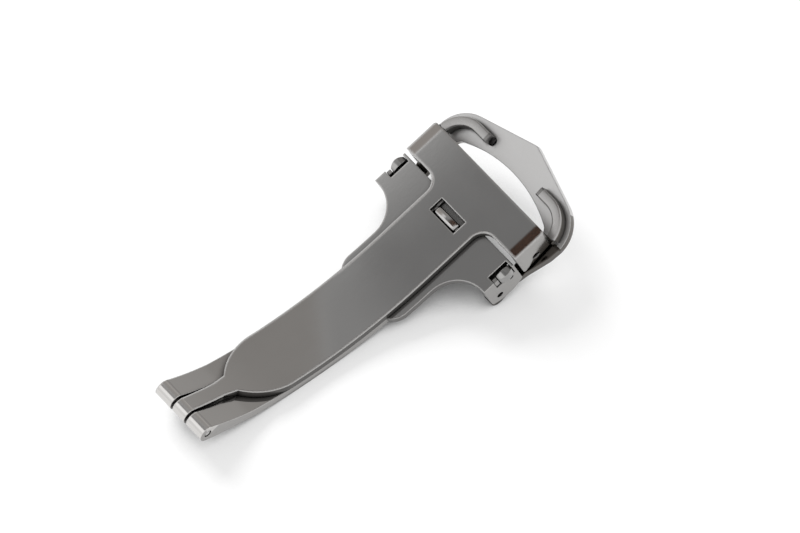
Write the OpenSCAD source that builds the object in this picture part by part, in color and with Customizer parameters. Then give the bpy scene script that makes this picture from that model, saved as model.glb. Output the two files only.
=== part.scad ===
// Deployant clasp for a watch strap with a 16 mm end.
// It lies closed, as on a table: the wrist side is up and the strap end is to the right.
// Each piece is drawn in the clasp's own frame: x runs along the strap end to the tip,
// y across the clasp and z up from the top of the upper blade. rest() then lays it down.

/* [Blades] */
// Width across the outer faces of the cheeks of the strap end
cheek_span = 18; // [17.6:0.2:19]
// Width of both blades between the strap end and the hinge
blade_w = 7.5; // [7:0.1:8.4]
// Length of the upper blade along its curve
blade_l = 43.4; // [41:0.2:46]
// Length of the straight stretch at the strap end
straight_l = 12.5; // [12:0.1:13.5]
// Bend radius of the upper blade's top, which follows the wrist
bend_r = 42; // [38:0.5:50]
// Thickness of the upper blade
upper_t = 0.75; // [0.7:0.01:0.8]
// Thickness of the lower blade at the wing
lower_t = 0.85; // [0.75:0.01:0.95]
// Gap between the two closed blades
blade_gap = 0.05; // [0.03:0.01:0.1]

/* [Strap end] */
// Length of the strap end plate
plate_l = 4.2; // [3.9:0.05:4.35]
// Thickness of each cheek
cheek_t = 1; // [0.8:0.05:1.1]
// Depth of the cheeks at the hinge side
cheek_h = 4.15; // [3.9:0.05:4.3]
// Slope of the lower edge of the cheeks in degrees
cheek_slope = 12; // [9:0.5:14]
// Radius of the neck fillets
neck_r = 1.7; // [1.2:0.1:2]
// Width of the bevels along the sides of the plate
bevel_w = 1.2; // [0.8:0.1:1.5]
// Radius of the plate's corners at the frame
end_corner_r = 0.35; // [0.2:0.05:0.5]
// Drop of those bevels at their outer edge
bevel_drop = 0.16; // [0.1:0.01:0.25]
// Length of the window along the clasp
window_l = 1.78; // [1.7:0.02:1.9]
// Width of the window
window_w = 3.92; // [3.8:0.02:4.1]

/* [Hinge] */
// Diameter of the knuckles
knuckle_d = 2; // [1.8:0.05:2.2]
// Diameter of the hinge pin
hinge_pin_d = 0.9; // [0.8:0.05:1]
// Width of the middle knuckle
tongue_w = 1.9; // [1.6:0.1:2.2]
// Gap beside the middle knuckle
knuckle_gap = 0.35; // [0.2:0.05:0.5]
// Length of the tongue from the shoulder to the hinge axis
tongue_l = 6.1; // [5:0.1:7]
// Radius of the shoulders
shoulder_r = 7.9; // [7:0.1:9]

/* [Wing and ears] */
// Width across the outer faces of the ears
ear_span = 18.1; // [17.8:0.1:19]
// Thickness of each ear
ear_t = 1; // [0.8:0.05:1.1]
// Length of the ears along the clasp
ear_l = 4.3; // [4.2:0.05:4.6]
// Depth of the ears at their lowest point
ear_h = 4.5; // [4.2:0.05:4.6]
// Radius of the lower edge of the ears
ear_r = 3.9; // [3.4:0.1:5]
// Radius of the lower corners of the ears
ear_corner_r = 0.5; // [0.4:0.05:0.7]
// Gap between the ears and the strap end plate
ear_gap = 0.45; // [0.35:0.05:0.6]
// Width of the wing beyond the ears
wing_w = 9.44; // [9.2:0.1:10.5]
// Radius of the fillets from the ears to the wing
wing_fillet_r = 3.9; // [3:0.1:4.2]
// Distance of the wing's end from the tip side of the plate
wing_end = 16.4; // [15.5:0.1:17.5]
// Radius of the rounded end of the wing
wing_end_r = 2.3; // [1.8:0.1:2.3]

/* [Latch] */
// Travel of each pusher
push_travel = 0.35; // [0.25:0.05:0.35]
// Length of the pushers along the clasp
pusher_l = 1.85; // [1.6:0.05:1.9]
// Crown of the pushers beyond the ears
pusher_crown = 0.25; // [0.1:0.05:0.4]
// Thickness of the latch slides
slide_t = 0.4; // [0.3:0.02:0.42]
// Width of the latch slides
slide_w = 2.3; // [2:0.05:2.3]
// Length of the catch post across the clasp
post_l = 3.3; // [3.1:0.05:3.35]
// Width of the catch post
post_w = 1.07; // [1:0.02:1.15]
// Diameter of the pusher springs
push_spring_d = 0.9; // [0.7:0.05:0.9]
// Wall of the latch housing
housing_wall = 0.3; // [0.25:0.05:0.35]
// Diameter of the housing pins
housing_pin_d = 0.6; // [0.5:0.05:0.6]
// Diameter of the rivets' shanks
rivet_d = 0.4; // [0.3:0.05:0.5]

/* [Frame] */
// Width across the frame
frame_span = 20.1; // [19.8:0.1:21]
// Distance from the strap end plate to the tip of the frame
frame_reach = 6.1; // [5.8:0.1:7]
// Thickness of the front plate
frame_t = 0.9; // [0.7:0.05:1.1]
// Angle of the front plate to the strap end plate in degrees
frame_tilt = 10; // [8:0.5:12]
// Depth of the front plate's top below the strap end's top
frame_drop = 3.8; // [3.7:0.05:4]
// Radius of the plate's outer corners
corner_r = 4.1; // [3.8:0.1:4.4]
// Clear length between the strap end and the front plate's inner edge
slot_l = 2.28; // [2:0.05:2.6]
// Width of the ribs
rib_w = 1.05; // [0.8:0.05:1.2]
// Height of the ribs above the plate
rib_h = 1.4; // [1:0.1:1.6]
// Width of the arms
arm_w = 1.3; // [1.1:0.05:1.5]
// Diameter of the frame's pins
frame_pin_d = 0.8; // [0.7:0.05:0.9]
// Thickness of the lugs inside the ears
lug_t = 0.95; // [0.8:0.05:1]
// Radius of the round rear ends of the arms
lobe_r = 1.05; // [0.95:0.05:1.1]

/* [Strap bar] */
// Diameter of the strap bar's tube
bar_d = 1.5; // [1.3:0.05:1.5]
// Wall of the tube
bar_wall = 0.2; // [0.15:0.01:0.25]
// Diameter of the tips
tip_d = 0.8; // [0.7:0.05:0.85]
// Travel of each tip into the tube
tip_travel = 0.9; // [0.6:0.05:0.9]

/* [Fits] */
// Radial clearance of a turning pin in its bore
run_fit = 0.03; // [0.01:0.005:0.05]
// Side clearance of a sliding piece
slide_fit = 0.05; // [0.03:0.01:0.07]
// Gap between pieces that pass each other freely
free_gap = 0.15; // [0.1:0.01:0.2]

/* [Hidden] */
$fn = 96;

// A length that is more than the whole clasp, for cuts that run right through
far = 80;
// A small overlap that lets a cut break through a face
eps = 0.02;

blade_half = blade_w / 2;
cheek_half = cheek_span / 2;
ear_half = ear_span / 2;
ear_in = ear_half - ear_t;
wing_half = wing_w / 2;
wing_z = -upper_t - blade_gap;
wing_low = wing_z - lower_t;
ear_front = -plate_l - ear_gap;
ear_rear = ear_front - ear_l;
ear_low = wing_z - ear_h;
ear_mid = (ear_front + ear_rear) / 2;
knuckle_r = knuckle_d / 2;

// The hinge axis lies under the end of the upper blade's curve
function turn(s) = (s - straight_l) / bend_r * 180 / PI;
hinge_turn = turn(blade_l - knuckle_r);
shoulder_turn = turn(blade_l - knuckle_r - tongue_l);
bend_x = -straight_l;
function on_curve(a, depth) = [bend_x - (bend_r + depth) * sin(a), bend_r - (bend_r + depth) * cos(a)];
hinge_at = on_curve(hinge_turn, knuckle_r);
shoulder_at = on_curve(shoulder_turn, 0);
// The lower blade's underside is one arc, tangent to the wing and to the knuckles
axis_r = bend_r + knuckle_r;
inner_r = bend_r - wing_low - knuckle_r;
under_rise = (axis_r * axis_r - inner_r * inner_r) / (2 * (inner_r - axis_r * cos(hinge_turn)));
under_r = bend_r - wing_low + under_rise;

// The latch
notch_rear = ear_rear + 1.44;
notch_front = ear_front - 0.3;
notch_low = wing_low - slide_t - 0.15;
window_rear = -plate_l - 0.98 - window_l;
post_x = window_rear + 0.06 + post_w / 2;
slide_top = wing_low - 0.07;
slide_low = slide_top - slide_t;
slide_front = notch_front - free_gap;
slide_rear = slide_front - slide_w;
slide_mid = (slide_front + slide_rear) / 2;
pusher_in = ear_in + push_travel + slide_fit;
post_half = post_l / 2;
lip_z = wing_z + 0.34;
hook_w = 0.46;
hook_t = 0.28;
hook_out = post_half - 0.03;
ledge_w = 0.21;
spring_in = 3.2;
spring_out = 6;
housing_half = ear_in - lug_t - 2 * free_gap;
housing_low = slide_low - 1.0;
housing_front = slide_front + slide_fit + housing_wall;
housing_rear = slide_rear - slide_fit - housing_wall;
housing_pin_at = [ear_mid + 1.16, slide_low - housing_pin_d / 2 - 0.2];
flange_l = 0.8;
flange_t = 0.3;

// The frame
frame_half = frame_span / 2;
pivot_at = [ear_rear + 1.28, ear_low + 1.28];
lug_out = ear_in - free_gap;
lug_r = 1.12;
arm_top = ear_low - free_gap;
lobe_at = [pivot_at[0] - 0.28, arm_top - 0.8 + lobe_r];
arm_front_r = frame_t / 2;
arm_front_at = [0.9, -frame_drop - arm_front_r + 0.12];
arm_out = ear_half - 0.4;
corner_y = frame_half - corner_r;
tip_r = 1;
inner_edge_r = 15.5;
side_y = frame_half - 2.7;
inner_corner_r = 1.2;
swing_room = 0.4;
rib_r = corner_r - 0.6;

// The strap bar runs through the cheeks
bar_at = [-plate_l / 2, -cheek_h + plate_l / 2 * tan(cheek_slope) + 0.74];
cheek_in = cheek_half - cheek_t;
bar_half = cheek_in - tip_travel - 0.15;
tip_r_out = tip_d / 2;
bore_r = bar_d / 2 - bar_wall;
plunger_in = bar_half - 2.2;

// The clasp rests on the lower blade's underside and the arms' round ends
under_c = [bend_x, wing_low + under_r];
lobe_dx = under_c[0] - lobe_at[0];
lobe_dz = under_c[1] - lobe_at[1];
rest_tilt = atan2(lobe_dx, lobe_dz) + acos((under_r - lobe_r) / norm([lobe_dx, lobe_dz]));
low_z = lobe_at[0] * sin(rest_tilt) + lobe_at[1] * cos(rest_tilt) - lobe_r;
function rest_x(p) = p[0] * cos(rest_tilt) - p[1] * sin(rest_tilt);
function in_frame(u, w) = [u * cos(frame_tilt) - w * sin(frame_tilt), u * sin(frame_tilt) + w * cos(frame_tilt) - frame_drop];
mid_x = (rest_x(in_frame(frame_reach, -frame_t)) + rest_x(hinge_at) - knuckle_r) / 2;

module rest() {
    translate([-mid_x, 0, -low_z]) rotate([0, -rest_tilt, 0]) children();
}

// A shape drawn in x and z, given its width from y0 to y1
module across(y0, y1) {
    translate([0, y1, 0]) rotate([90, 0, 0]) linear_extrude(y1 - y0) children();
}

// A round bar across the clasp
module round_bar(at, r, y0, y1) {
    translate([at[0], y0, at[1]]) rotate([-90, 0, 0]) cylinder(r = r, h = y1 - y0);
}

module both_sides() {
    children();
    mirror([0, 1, 0]) children();
}

// side is 1 for the left half and -1 for the right half
module on_side(side) {
    mirror([0, side < 0 ? 1 : 0, 0]) children();
}

// A plan seen along the upper blade's normal at the shoulder, with x towards the strap end
module at_shoulder() {
    translate([shoulder_at[0], 0, shoulder_at[1]]) rotate([0, shoulder_turn, 0])
        translate([0, 0, -far / 4]) linear_extrude(far / 2) children();
}

// A plan seen from above
module plan_prism() {
    translate([0, 0, -far / 4]) linear_extrude(far / 2) children();
}

module disc(r) {
    round_bar([bend_x, bend_r], r, -far / 2, far / 2);
}

// The bent sheet of the upper blade, wider than the blade
module upper_sheet() {
    translate([bend_x, -far / 2, -upper_t]) cube([straight_l, far, upper_t]);
    intersection() {
        difference() {
            disc(bend_r + upper_t);
            disc(bend_r);
        }
        translate([bend_x - far, -far / 2, -far / 2]) cube([far, far, far]);
    }
}

// The bent sheet of the lower blade, thicker towards the hinge
module lower_sheet() {
    translate([bend_x, -far / 2, wing_low]) cube([straight_l, far, lower_t]);
    intersection() {
        difference() {
            round_bar(under_c, under_r, -far / 2, far / 2);
            disc(bend_r - wing_z);
        }
        translate([bend_x - far, -far / 2, -far / 2]) cube([far, far, far]);
    }
}

// A fillet in the inner corner at [x, y], filling towards -x and +y
module corner_fillet(x, y, r) {
    difference() {
        translate([x - r, y - eps]) square([r + eps, r + eps]);
        translate([x - r, y + r]) circle(r);
    }
}

module upper_plan() {
    translate([-plate_l, -cheek_half]) square([plate_l, cheek_span]);
    translate([-far, -blade_half]) square([far - 1, blade_w]);
    both_flat() corner_fillet(-plate_l, blade_half, neck_r);
}

module both_flat() {
    children();
    mirror([0, 1]) children();
}

shoulder_run = sqrt(pow(shoulder_r, 2) - pow(shoulder_r - blade_half + tongue_w / 2 + 0.25, 2));
tongue_reach = bend_r * sin(hinge_turn - shoulder_turn);

// What is cut from the upper blade's end to leave its round shoulders and its tongue
module upper_hinge_cut() {
    neck = tongue_w / 2;
    root = neck + 0.25;
    shoulder_y = blade_half - shoulder_r + eps;
    difference() {
        translate([-far, -far / 2]) square([far + shoulder_run, far]);
        intersection() {
            translate([0, -far / 2]) square([far, far]);
            translate([shoulder_run, shoulder_y]) circle(shoulder_r);
            translate([shoulder_run, -shoulder_y]) circle(shoulder_r);
        }
        polygon([[0.3, root], [0, root], [-1.8, neck], [-tongue_reach, neck],
            [-tongue_reach, -neck], [-1.8, -neck], [0, -root], [0.3, -root]]);
    }
}

cheek_end_h = cheek_h - plate_l * tan(cheek_slope);

module cheek_profile() {
    r = 0.3;
    difference() {
        polygon([[-plate_l, -upper_t / 2], [-plate_l, -cheek_h], [0, -cheek_end_h], [0, -upper_t / 2]]);
        translate([-plate_l - eps, -cheek_h - eps]) square([r + eps, r + eps]);
    }
    translate([-plate_l + r, -cheek_h + r]) circle(r);
}

module cheek() {
    across(cheek_in, cheek_half) cheek_profile();
    // The rounded inner corner under the plate
    r = 0.4;
    across_x(-plate_l, 0) difference() {
        translate([cheek_in - r, -upper_t - r]) square([r + eps, r + eps]);
        translate([cheek_in - r, -upper_t - r]) circle(r);
    }
}

// A shape drawn in y and z, given its length from x0 to x1
module across_x(x0, x1) {
    translate([x0, 0, 0]) rotate([90, 0, 90]) linear_extrude(x1 - x0) children();
}

// What rounds the corners of the strap end
module end_corner() {
    translate([-end_corner_r, cheek_half - end_corner_r]) difference() {
        square([2 * end_corner_r, 2 * end_corner_r]);
        circle(end_corner_r);
    }
}

module side_bevel() {
    across_x(-plate_l - 1, 1) polygon([[cheek_half - bevel_w, 0], [cheek_half + eps, -bevel_drop],
        [cheek_half + eps, 1], [cheek_half - bevel_w, 1]]);
}

module window_cut() {
    y = window_w / 2;
    translate([window_rear, -y, wing_z + 0.3]) cube([window_l, window_w, 1]);
    translate([window_rear, -y + ledge_w, -upper_t - 1]) cube([window_l, window_w - 2 * ledge_w, 2]);
}

module upper_blade() {
    color("silver") rest() difference() {
        union() {
            difference() {
                intersection() {
                    upper_sheet();
                    plan_prism() upper_plan();
                }
                at_shoulder() upper_hinge_cut();
            }
            both_sides() cheek();
            round_bar(hinge_at, knuckle_r, -tongue_w / 2, tongue_w / 2);
        }
        both_sides() {
            side_bevel();
            plan_prism() end_corner();
        }
        window_cut();
        round_bar(hinge_at, hinge_pin_d / 2 + run_fit, -far / 2, far / 2);
        both_sides() round_bar(bar_at, tip_r_out + slide_fit, cheek_in - 1, cheek_half + 1);
    }
}

module lower_plan() {
    translate([-far, -blade_half]) square([far + ear_front, blade_w]);
    translate([-wing_end, -wing_half]) square([ear_front + wing_end, wing_w]);
    translate([ear_rear, -ear_half]) square([ear_l, ear_span]);
    both_flat() {
        corner_fillet(ear_rear, wing_half, wing_fillet_r);
        translate([-wing_end, wing_half - wing_end_r]) circle(wing_end_r);
    }
}

// A strip between two parallel sides that ends in an arc towards x, with round corners
module arc_end(big_r, half_w, r) {
    corner = [sqrt(pow(big_r - r, 2) - pow(half_w - r, 2)), half_w - r];
    touch = corner * big_r / (big_r - r);
    difference() {
        intersection() {
            circle(big_r);
            translate([0, -half_w]) square([far, 2 * half_w]);
        }
        both_flat() polygon([corner, [corner[0], half_w + eps], [big_r + 1, half_w + eps], [big_r + 1, touch[1]], touch]);
    }
    both_flat() translate(corner) circle(r);
}

module ear_profile() {
    intersection() {
        translate([ear_rear, ear_low - 1]) square([ear_l, ear_h + 1]);
        union() {
            translate([ear_mid, ear_low + ear_r]) rotate(-90) arc_end(ear_r, ear_l / 2, ear_corner_r);
            translate([ear_rear, ear_low + ear_r - eps]) square([ear_l, far]);
        }
    }
}

// The raised ground beside the tongue climbs from the lower blade's top to the knuckles' top
ramp_r = 30;
ramp_from = on_curve(shoulder_turn + 0.15 / bend_r * 180 / PI, -wing_z);
ramp_to = on_curve(hinge_turn, 0);
ramp_run = ramp_to - ramp_from;
ramp_l = norm(ramp_run);
ramp_c = (ramp_from + ramp_to) / 2 + [ramp_run[1], -ramp_run[0]] / ramp_l * sqrt(ramp_r * ramp_r - ramp_l * ramp_l / 4);

module ramp_profile() {
    deep = on_curve(hinge_turn, knuckle_r);
    root = on_curve(shoulder_turn, -wing_z + 0.4);
    difference() {
        polygon([ramp_from, ramp_to, deep, root]);
        translate(ramp_c) circle(ramp_r, $fn = 400);
    }
}

module lower_blade() {
    slot_half = tongue_w / 2 + knuckle_gap;
    color("gainsboro") rest() difference() {
        union() {
            difference() {
                intersection() {
                    lower_sheet();
                    plan_prism() lower_plan();
                }
                at_shoulder() translate([-tongue_reach - far, -far / 2]) square([far, far]);
            }
            both_sides() {
                across(ear_in, ear_half) ear_profile();
                across(slot_half, blade_half) ramp_profile();
                round_bar(hinge_at, knuckle_r, slot_half, blade_half);
            }
        }
        // The slot of the middle knuckle
        round_bar(hinge_at, knuckle_r + free_gap, -slot_half, slot_half);
        both_sides() {
            translate([notch_rear, ear_in, notch_low]) cube([notch_front - notch_rear, 2 * ear_t, ear_h]);
            round_bar(pivot_at, frame_pin_d / 2, ear_in - 1, ear_half + 1);
            round_bar(housing_pin_at, housing_pin_d / 2, ear_in - 1, ear_half + 1);
            // The opening of the hook
            translate([post_x - hook_w / 2 - slide_fit, hook_out - hook_t - push_travel - 0.08, wing_low - 1])
                cube([hook_w + 2 * slide_fit, hook_t + push_travel + 0.4, lower_t + 2]);
            for (i = [0, 1]) rivet_at(i) cylinder(r = rivet_d / 2, h = lower_t / 2);
        }
        round_bar(hinge_at, hinge_pin_d / 2, -far / 2, far / 2);
        translate([post_x, 0, wing_low - 1]) post_shank(lower_t + 2);
    }
}

module hinge_pin() {
    color("darkgray") rest() round_bar(hinge_at, hinge_pin_d / 2, -blade_half + 0.05, blade_half - 0.05);
}

module post_shank(h) {
    translate([-post_w / 2 + 0.12, -0.75, 0]) cube([post_w - 0.24, 1.5, h]);
}

// The post stands on the wing and fills the hinge side of the window; its ends are slotted for the hooks
module catch_post() {
    crown_r = 1;
    h = -wing_z - 0.08;
    color("white") rest() {
        difference() {
            translate([post_x, 0, wing_z]) intersection() {
                translate([-post_w / 2, -post_half, 0]) cube([post_w, post_l, h]);
                translate([0, post_half, h - crown_r]) rotate([90, 0, 0]) cylinder(r = crown_r, h = post_l);
                translate([0, 0, h - 6]) rotate([0, 90, 0]) cylinder(r = 6, h = post_w, center = true);
            }
            both_sides() translate([post_x - hook_w / 2 - slide_fit, hook_out - hook_t - push_travel - 0.08, wing_z - eps])
                cube([hook_w + 2 * slide_fit, far, lip_z - wing_z + 0.13]);
        }
        translate([post_x, 0, wing_low]) post_shank(lower_t);
    }
}

module pusher(side) {
    mid = notch_front - slide_fit - pusher_l / 2;
    low = notch_low + slide_fit;
    top = wing_z - 0.06;
    crown_r = (pow(pusher_l / 2, 2) + pow(pusher_crown + 0.1, 2)) / (2 * (pusher_crown + 0.1));
    out = ear_half + pusher_crown;
    color("whitesmoke") rest() on_side(side) intersection() {
        translate([mid - pusher_l / 2, pusher_in, low]) cube([pusher_l, out - pusher_in, top - low]);
        translate([mid, out - crown_r, low]) cylinder(r = crown_r, h = top - low);
        translate([mid, pusher_in, top - 1.8]) rotate([-90, 0, 0]) cylinder(r = 1.8, h = 3);
    }
}

module latch_slide(side) {
    tab_l = notch_front - slide_fit - pusher_l - 0.1 - notch_rear - slide_fit;
    color("lightgray") rest() on_side(side) {
        difference() {
            union() {
                translate([slide_rear, hook_out - hook_t - 0.1, slide_low])
                    cube([slide_w, pusher_in - hook_out + hook_t + 0.1, slide_t]);
                // The hook that holds the upper blade by the ledge in its window
                translate([post_x - hook_w / 2, hook_out - hook_t, slide_top - eps])
                    cube([hook_w, hook_t, lip_z - slide_top + 0.08]);
                translate([post_x - hook_w / 2, hook_out - hook_t, lip_z - 0.05])
                    cube([hook_w, hook_t + 0.28, 0.13]);
                // The finger that shows beside the pusher
                translate([notch_rear + slide_fit, pusher_in - 0.2, slide_low])
                    cube([tab_l, ear_half - 0.1 - pusher_in + 0.2, slide_t]);
                translate([notch_rear + slide_fit, pusher_in + 0.05, slide_low])
                    cube([tab_l, ear_half - 0.1 - pusher_in - 0.05, wing_z - 0.25 - slide_low]);
            }
            // The pocket of the spring
            translate([slide_mid - push_spring_d / 2 - slide_fit, spring_in - 0.7, slide_low - 1])
                cube([push_spring_d + 2 * slide_fit, spring_out - spring_in + 0.7, slide_t + 2]);
        }
    }
}

module pusher_spring(side) {
    wire = 0.14;
    at = [slide_mid, housing_low + housing_wall + push_spring_d / 2 + 0.02];
    color("gold") rest() on_side(side) difference() {
        round_bar(at, push_spring_d / 2, spring_in, spring_out);
        round_bar(at, push_spring_d / 2 - wire, spring_in - 1, spring_out + 1);
    }
}

module rivet_at(i) {
    translate([housing_rear - flange_l / 2, 1.6 + 3.2 * i, wing_low]) children();
}

// The tray under the wing in which the slides run
module latch_housing() {
    room_l = housing_front - housing_rear - 2 * housing_wall;
    color("darkgray") rest() difference() {
        union() {
            translate([housing_rear, -housing_half, housing_low])
                cube([housing_front - housing_rear, 2 * housing_half, wing_low - housing_low]);
            translate([housing_rear - flange_l, -6, wing_low - flange_t]) cube([flange_l + eps, 12, flange_t]);
        }
        difference() {
            translate([housing_rear + housing_wall, -housing_half + 0.35, housing_low + housing_wall])
                cube([room_l, 2 * housing_half - 0.7, far]);
            // The stop behind each spring
            both_sides() translate([slide_mid - push_spring_d / 2 + 0.05, spring_in - 0.3, housing_low])
                cube([push_spring_d - 0.1, 0.3, slide_top - 0.05 - housing_low]);
        }
        translate([housing_rear + housing_wall, -far / 2, slide_low - slide_fit]) cube([room_l, far, far]);
        both_sides() {
            round_bar(housing_pin_at, housing_pin_d / 2, housing_half - 0.5, housing_half + 1);
            for (i = [0, 1]) rivet_at(i) translate([0, 0, -1]) cylinder(r = rivet_d / 2, h = 1 + eps);
        }
    }
}

module housing_rivets() {
    head = 0.2;
    color("silver") rest() both_sides() for (i = [0, 1]) rivet_at(i) {
        translate([0, 0, -flange_t]) cylinder(r = rivet_d / 2, h = flange_t + lower_t / 2);
        translate([0, 0, -flange_t - head]) cylinder(r = rivet_d * 0.9, h = head);
    }
}

module housing_pin(side) {
    color("darkgray") rest() on_side(side)
        round_bar(housing_pin_at, housing_pin_d / 2, housing_half - 0.35, ear_half - 0.05);
}

module frame_pin(side) {
    color("darkgray") rest() on_side(side)
        round_bar(pivot_at, frame_pin_d / 2, lug_out - lug_t, ear_half - 0.05);
}

// The outer tangent points of two circles, to the left of the line from c1 to c2
function tangent(c1, r1, c2, r2) = let (
    d = c2 - c1,
    a = atan2(d[1], d[0]) + acos((r1 - r2) / norm(d)),
    n = [cos(a), sin(a)]
) [c1 + r1 * n, c2 + r2 * n];

// The outline of the front plate, seen from above, with x to the tip
module plate_outline() {
    corner = [0.1, corner_y];
    tip = [frame_reach - tip_r, 0];
    edge = tangent(corner, corner_r, tip, tip_r);
    intersection() {
        union() {
            both_flat() {
                translate(corner) circle(corner_r);
                polygon([corner, edge[0], edge[1], tip, [0, 0], [0, corner_y]]);
            }
            translate(tip) circle(tip_r);
        }
        translate([0, -far / 2]) square([far, far]);
    }
    both_flat() arm_outline();
}

// The arms narrow towards the ears and end in wider lobes
module arm_outline() {
    polygon([[0.2, side_y], [0.2, frame_half], [-1.3, frame_half - 0.2], [-2.6, frame_half - 0.6],
        [-4, frame_half - 1.05], [-5.4, arm_out + 0.05], [-6.5, arm_out], [lobe_at[0] - lobe_r - 0.5, arm_out + 0.1],
        [lobe_at[0] - lobe_r - 0.5, arm_out - arm_w], [-5.4, arm_out - arm_w], [-3.5, side_y]]);
}

module arm_profile() {
    edge = tangent(arm_front_at, arm_front_r, lobe_at, lobe_r);
    low = tangent(lobe_at, lobe_r, arm_front_at, arm_front_r);
    intersection() {
        union() {
            polygon([edge[0], edge[1], low[0], low[1]]);
            translate(lobe_at) circle(lobe_r);
            translate(arm_front_at) circle(arm_front_r);
        }
        // The top follows the cheeks and passes under the ears
        polygon([[2, 0], [1.2, -frame_drop + 0.2], [0, -cheek_end_h - 0.45], [-plate_l, -cheek_h - 0.4],
            [ear_front + 0.1, -cheek_h - 0.6], [ear_front - 0.9, arm_top], [lobe_at[0] - 3, arm_top],
            [lobe_at[0] - 3, -far], [2, -far]]);
    }
}

module rib_plan() {
    corner = [0.1, corner_y];
    translate(corner) intersection() {
        difference() {
            circle(rib_r);
            circle(rib_r - rib_w);
        }
        square([corner_r, corner_r]);
    }
    translate([0.1 + rib_r - rib_w, 4.2]) square([rib_w, corner_y - 4.2 + eps]);
    translate([0.1 + rib_r - rib_w / 2, 4.2]) circle(rib_w / 2);
}

module frame() {
    color("lightsteelblue") rest() {
        difference() {
            union() {
                translate([0, 0, -frame_drop]) rotate([0, -frame_tilt, 0]) {
                    translate([0, 0, -frame_t]) linear_extrude(frame_t) difference() {
                        intersection() {
                            plate_outline();
                            translate([-1.2, -far / 2]) square([far, far]);
                        }
                        // The inner edge, one wide arc with round corners
                        translate([slot_l - inner_edge_r, 0]) arc_end(inner_edge_r, side_y, inner_corner_r);
                    }
                    difference() {
                        translate([0, 0, -frame_t / 2]) linear_extrude(frame_t / 2 + rib_h) both_flat() rib_plan();
                        // Room for the cheeks as the upper blade swings up
                        translate([-1, -cheek_half - swing_room, 0])
                            cube([1.1 + swing_room, cheek_span + 2 * swing_room, far]);
                    }
                }
                intersection() {
                    across(-far / 2, far / 2) arm_profile();
                    translate([0, 0, -far / 2]) linear_extrude(far) both_flat() arm_outline();
                }
                both_sides() {
                    round_bar(pivot_at, lug_r, lug_out - lug_t, lug_out);
                    across(lug_out - lug_t, lug_out) polygon([pivot_at + [-lug_r, 0], pivot_at + [lug_r, 0],
                        [pivot_at[0] + lug_r, arm_top - 0.3], [lobe_at[0] - lobe_r + 0.1, arm_top - 0.3]]);
                }
            }
            both_sides() round_bar(pivot_at, frame_pin_d / 2 + run_fit, 0, lug_out + eps);
        }
    }
}

module strap_bar_tube() {
    color("silver") rest() difference() {
        round_bar(bar_at, bar_d / 2, -bar_half, bar_half);
        round_bar(bar_at, bore_r, -bar_half - 1, bar_half + 1);
    }
}

module strap_bar_tip(side) {
    color("white") rest() on_side(side) {
        round_bar(bar_at, bore_r - run_fit, plunger_in, bar_half - 0.1);
        round_bar(bar_at, tip_r_out, bar_half - 0.2, cheek_half - 0.1);
    }
}

module strap_bar_spring() {
    wire = 0.16;
    color("gold") rest() difference() {
        round_bar(bar_at, bore_r - 0.05, -plunger_in, plunger_in);
        round_bar(bar_at, bore_r - 0.05 - wire, -plunger_in - 1, plunger_in + 1);
    }
}

upper_blade();
lower_blade();
hinge_pin();
frame();
frame_pin(1);  // frame_pin_left
frame_pin(-1);  // frame_pin_right
catch_post();
pusher(1);  // pusher_left
pusher(-1);  // pusher_right
latch_slide(1);  // latch_slide_left
latch_slide(-1);  // latch_slide_right
pusher_spring(1);  // pusher_spring_left
pusher_spring(-1);  // pusher_spring_right
latch_housing();
housing_rivets();
housing_pin(1);  // housing_pin_left
housing_pin(-1);  // housing_pin_right
strap_bar_tube();
strap_bar_tip(1);  // strap_bar_tip_left
strap_bar_tip(-1);  // strap_bar_tip_right
strap_bar_spring();
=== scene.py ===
import bmesh
import bpy
import math
from mathutils import Matrix, Vector


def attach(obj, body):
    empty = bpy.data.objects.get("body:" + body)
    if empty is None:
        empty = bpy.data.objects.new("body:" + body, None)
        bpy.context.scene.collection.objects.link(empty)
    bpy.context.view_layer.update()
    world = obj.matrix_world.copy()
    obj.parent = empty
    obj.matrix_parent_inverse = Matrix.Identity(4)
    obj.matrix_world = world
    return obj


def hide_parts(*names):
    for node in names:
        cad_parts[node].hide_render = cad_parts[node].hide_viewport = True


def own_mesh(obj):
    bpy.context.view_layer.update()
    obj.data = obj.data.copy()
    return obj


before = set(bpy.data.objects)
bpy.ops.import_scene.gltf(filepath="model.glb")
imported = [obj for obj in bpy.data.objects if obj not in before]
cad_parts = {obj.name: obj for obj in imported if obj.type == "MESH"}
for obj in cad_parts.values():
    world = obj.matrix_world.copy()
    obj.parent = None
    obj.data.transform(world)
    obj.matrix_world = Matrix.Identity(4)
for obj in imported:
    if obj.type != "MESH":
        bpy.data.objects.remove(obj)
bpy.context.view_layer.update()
mm = 0.001
print("frame loaded")

# How the clasp lies: its own frame, as in the part's source, is tilted to rest on the table
lie = {"tilt": math.radians(20.2934), "shiftX": 17.6539, "shiftZ": 8.6845}
shift = Matrix.Translation((lie["shiftX"] * mm, 0, lie["shiftZ"] * mm))
tiltedFrame = shift @ Matrix.Rotation(-lie["tilt"], 4, "Y")


def place(x, y, z):  # a point of the clasp's own frame in mm, in the row frame in metres
    return tiltedFrame @ Vector((x * mm, y * mm, z * mm))


def own(v):  # and back
    return tiltedFrame.inverted() @ v / mm


def linked(name, data):  # a new object in the scene
    made = bpy.data.objects.new(name, data)
    bpy.context.scene.collection.objects.link(made)
    return made


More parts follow.
